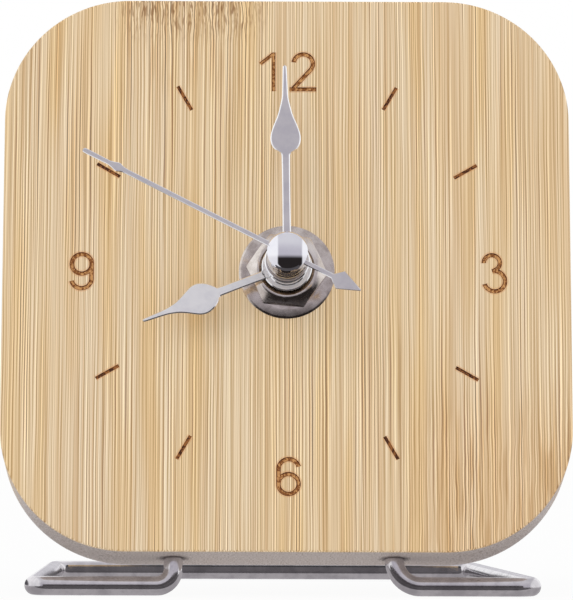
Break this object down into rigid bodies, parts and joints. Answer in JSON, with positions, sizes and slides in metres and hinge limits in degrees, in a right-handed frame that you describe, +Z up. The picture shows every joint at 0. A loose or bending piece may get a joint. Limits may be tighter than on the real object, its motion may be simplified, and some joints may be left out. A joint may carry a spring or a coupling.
{
  "type": "desk clock",
  "caption": "Square wooden desk clock with rounded corners, spade hands and engraved marks, leaning on a bent wire stand, with a quartz movement behind it.",
  "frame": {"origin": "on the table, under the middle of the clock's bounding box", "axes": "+X to the reader's right, +Y from the dial towards the back, +Z up; the dial faces -Y and leans back by 13 degrees"},
  "size_m": [0.095, 0.0748, 0.1],
  "materials": {
    "bamboo": "sanded bamboo, unvarnished",
    "stainless_wire": "drawn stainless wire, polished",
    "nickel": "bright nickel plating",
    "hands": "satin silver",
    "bright_cap": "mirror",
    "gasket": "matt",
    "case_plastic": "fine texture",
    "cell": "plain sleeve",
    "spring_strip": "bright",
    "iron": "dull, annealed",
    "copper": "enamelled copper",
    "white_plastic": "satin",
    "board": "solder mask",
    "epoxy": "smooth",
    "ferrite": "dark, smooth",
    "arbor_steel": "ground"
  },
  "bodies": {
    "clock_body": {"dial_plate": "bamboo", "wire_stand": "stainless_wire", "dial_washer": "nickel", "hex_nut": "nickel", "threaded_bush": "nickel", "rubber_gasket": "gasket", "movement_case": "case_plastic", "movement_cover": "case_plastic", "battery": "cell", "positive_contact": "spring_strip", "negative_contact": "spring_strip", "stator": "iron", "coil_core": "iron", "coil_bobbin": "white_plastic", "coil_winding": "copper", "circuit_board": "board", "quartz_crystal": "spring_strip", "chip_blob": "epoxy"},
    "second_hand_body": {"second_arbor": "arbor_steel", "second_wheel": "white_plastic", "second_hand": "hands", "second_collar": "hands", "second_cap": "bright_cap"},
    "minute_hand_body": {"minute_arbor": "white_plastic", "minute_hand": "hands"},
    "hour_hand_body": {"hour_wheel": "white_plastic", "hour_hand": "hands"},
    "rotor_body": {"rotor_pinion": "white_plastic", "rotor_magnet": "ferrite"},
    "intermediate_body": {"intermediate_wheel": "white_plastic"},
    "third_body": {"third_wheel": "white_plastic"},
    "centre_body": {"centre_wheel": "white_plastic"},
    "minute_wheel_body": {"minute_wheel": "white_plastic"},
    "setting_body": {"setting_arbor": "white_plastic", "setting_knob": "case_plastic"}
  },
  "joints": [
    {"name": "second_hand_turn", "type": "hinge", "parent": "clock_body", "child": "second_hand_body", "pos_m": [0, -0.03445, 0.05659], "axis": [0, 0.9744, -0.225], "continuous": true},
    {"name": "minute_hand_turn", "type": "hinge", "parent": "clock_body", "child": "minute_hand_body", "pos_m": [0, -0.02968, 0.05549], "axis": [0, 0.9744, -0.225], "continuous": true},
    {"name": "hour_hand_turn", "type": "hinge", "parent": "clock_body", "child": "hour_hand_body", "pos_m": [0, -0.02593, 0.05463], "axis": [0, 0.9744, -0.225], "continuous": true},
    {"name": "rotor_turn", "type": "hinge", "parent": "clock_body", "child": "rotor_body", "pos_m": [0.0088, 0.00128, 0.06022], "axis": [0, 0.9744, -0.225], "continuous": true},
    {"name": "intermediate_wheel_turn", "type": "hinge", "parent": "clock_body", "child": "intermediate_body", "pos_m": [0.00248, 0.00222, 0.05764], "axis": [0, 0.9744, -0.225], "continuous": true},
    {"name": "third_wheel_turn", "type": "hinge", "parent": "clock_body", "child": "third_body", "pos_m": [-0.00825, -0.00171, 0.05392], "axis": [0, 0.9744, -0.225], "continuous": true},
    {"name": "centre_wheel_turn", "type": "hinge", "parent": "clock_body", "child": "centre_body", "pos_m": [0, -0.00425, 0.04962], "axis": [0, 0.9744, -0.225], "continuous": true},
    {"name": "minute_wheel_turn", "type": "hinge", "parent": "clock_body", "child": "minute_wheel_body", "pos_m": [0.00827, -0.00604, 0.04854], "axis": [0, 0.9744, -0.225], "continuous": true},
    {"name": "setting_knob_turn", "type": "hinge", "parent": "clock_body", "child": "setting_body", "pos_m": [0.01617, 0.00598, 0.04281], "axis": [0, 0.9744, -0.225], "continuous": true}
  ],
  "couplings": [
    {"joint": "rotor_turn", "follows": "second_hand_turn", "ratio": 30},
    {"joint": "intermediate_wheel_turn", "follows": "second_hand_turn", "ratio": -5},
    {"joint": "third_wheel_turn", "follows": "second_hand_turn", "ratio": -0.13333},
    {"joint": "centre_wheel_turn", "follows": "second_hand_turn", "ratio": 0.016667},
    {"joint": "hour_hand_turn", "follows": "minute_hand_turn", "ratio": 0.083333},
    {"joint": "minute_wheel_turn", "follows": "minute_hand_turn", "ratio": -0.33333},
    {"joint": "setting_knob_turn", "follows": "minute_hand_turn", "ratio": 1}
  ]
}
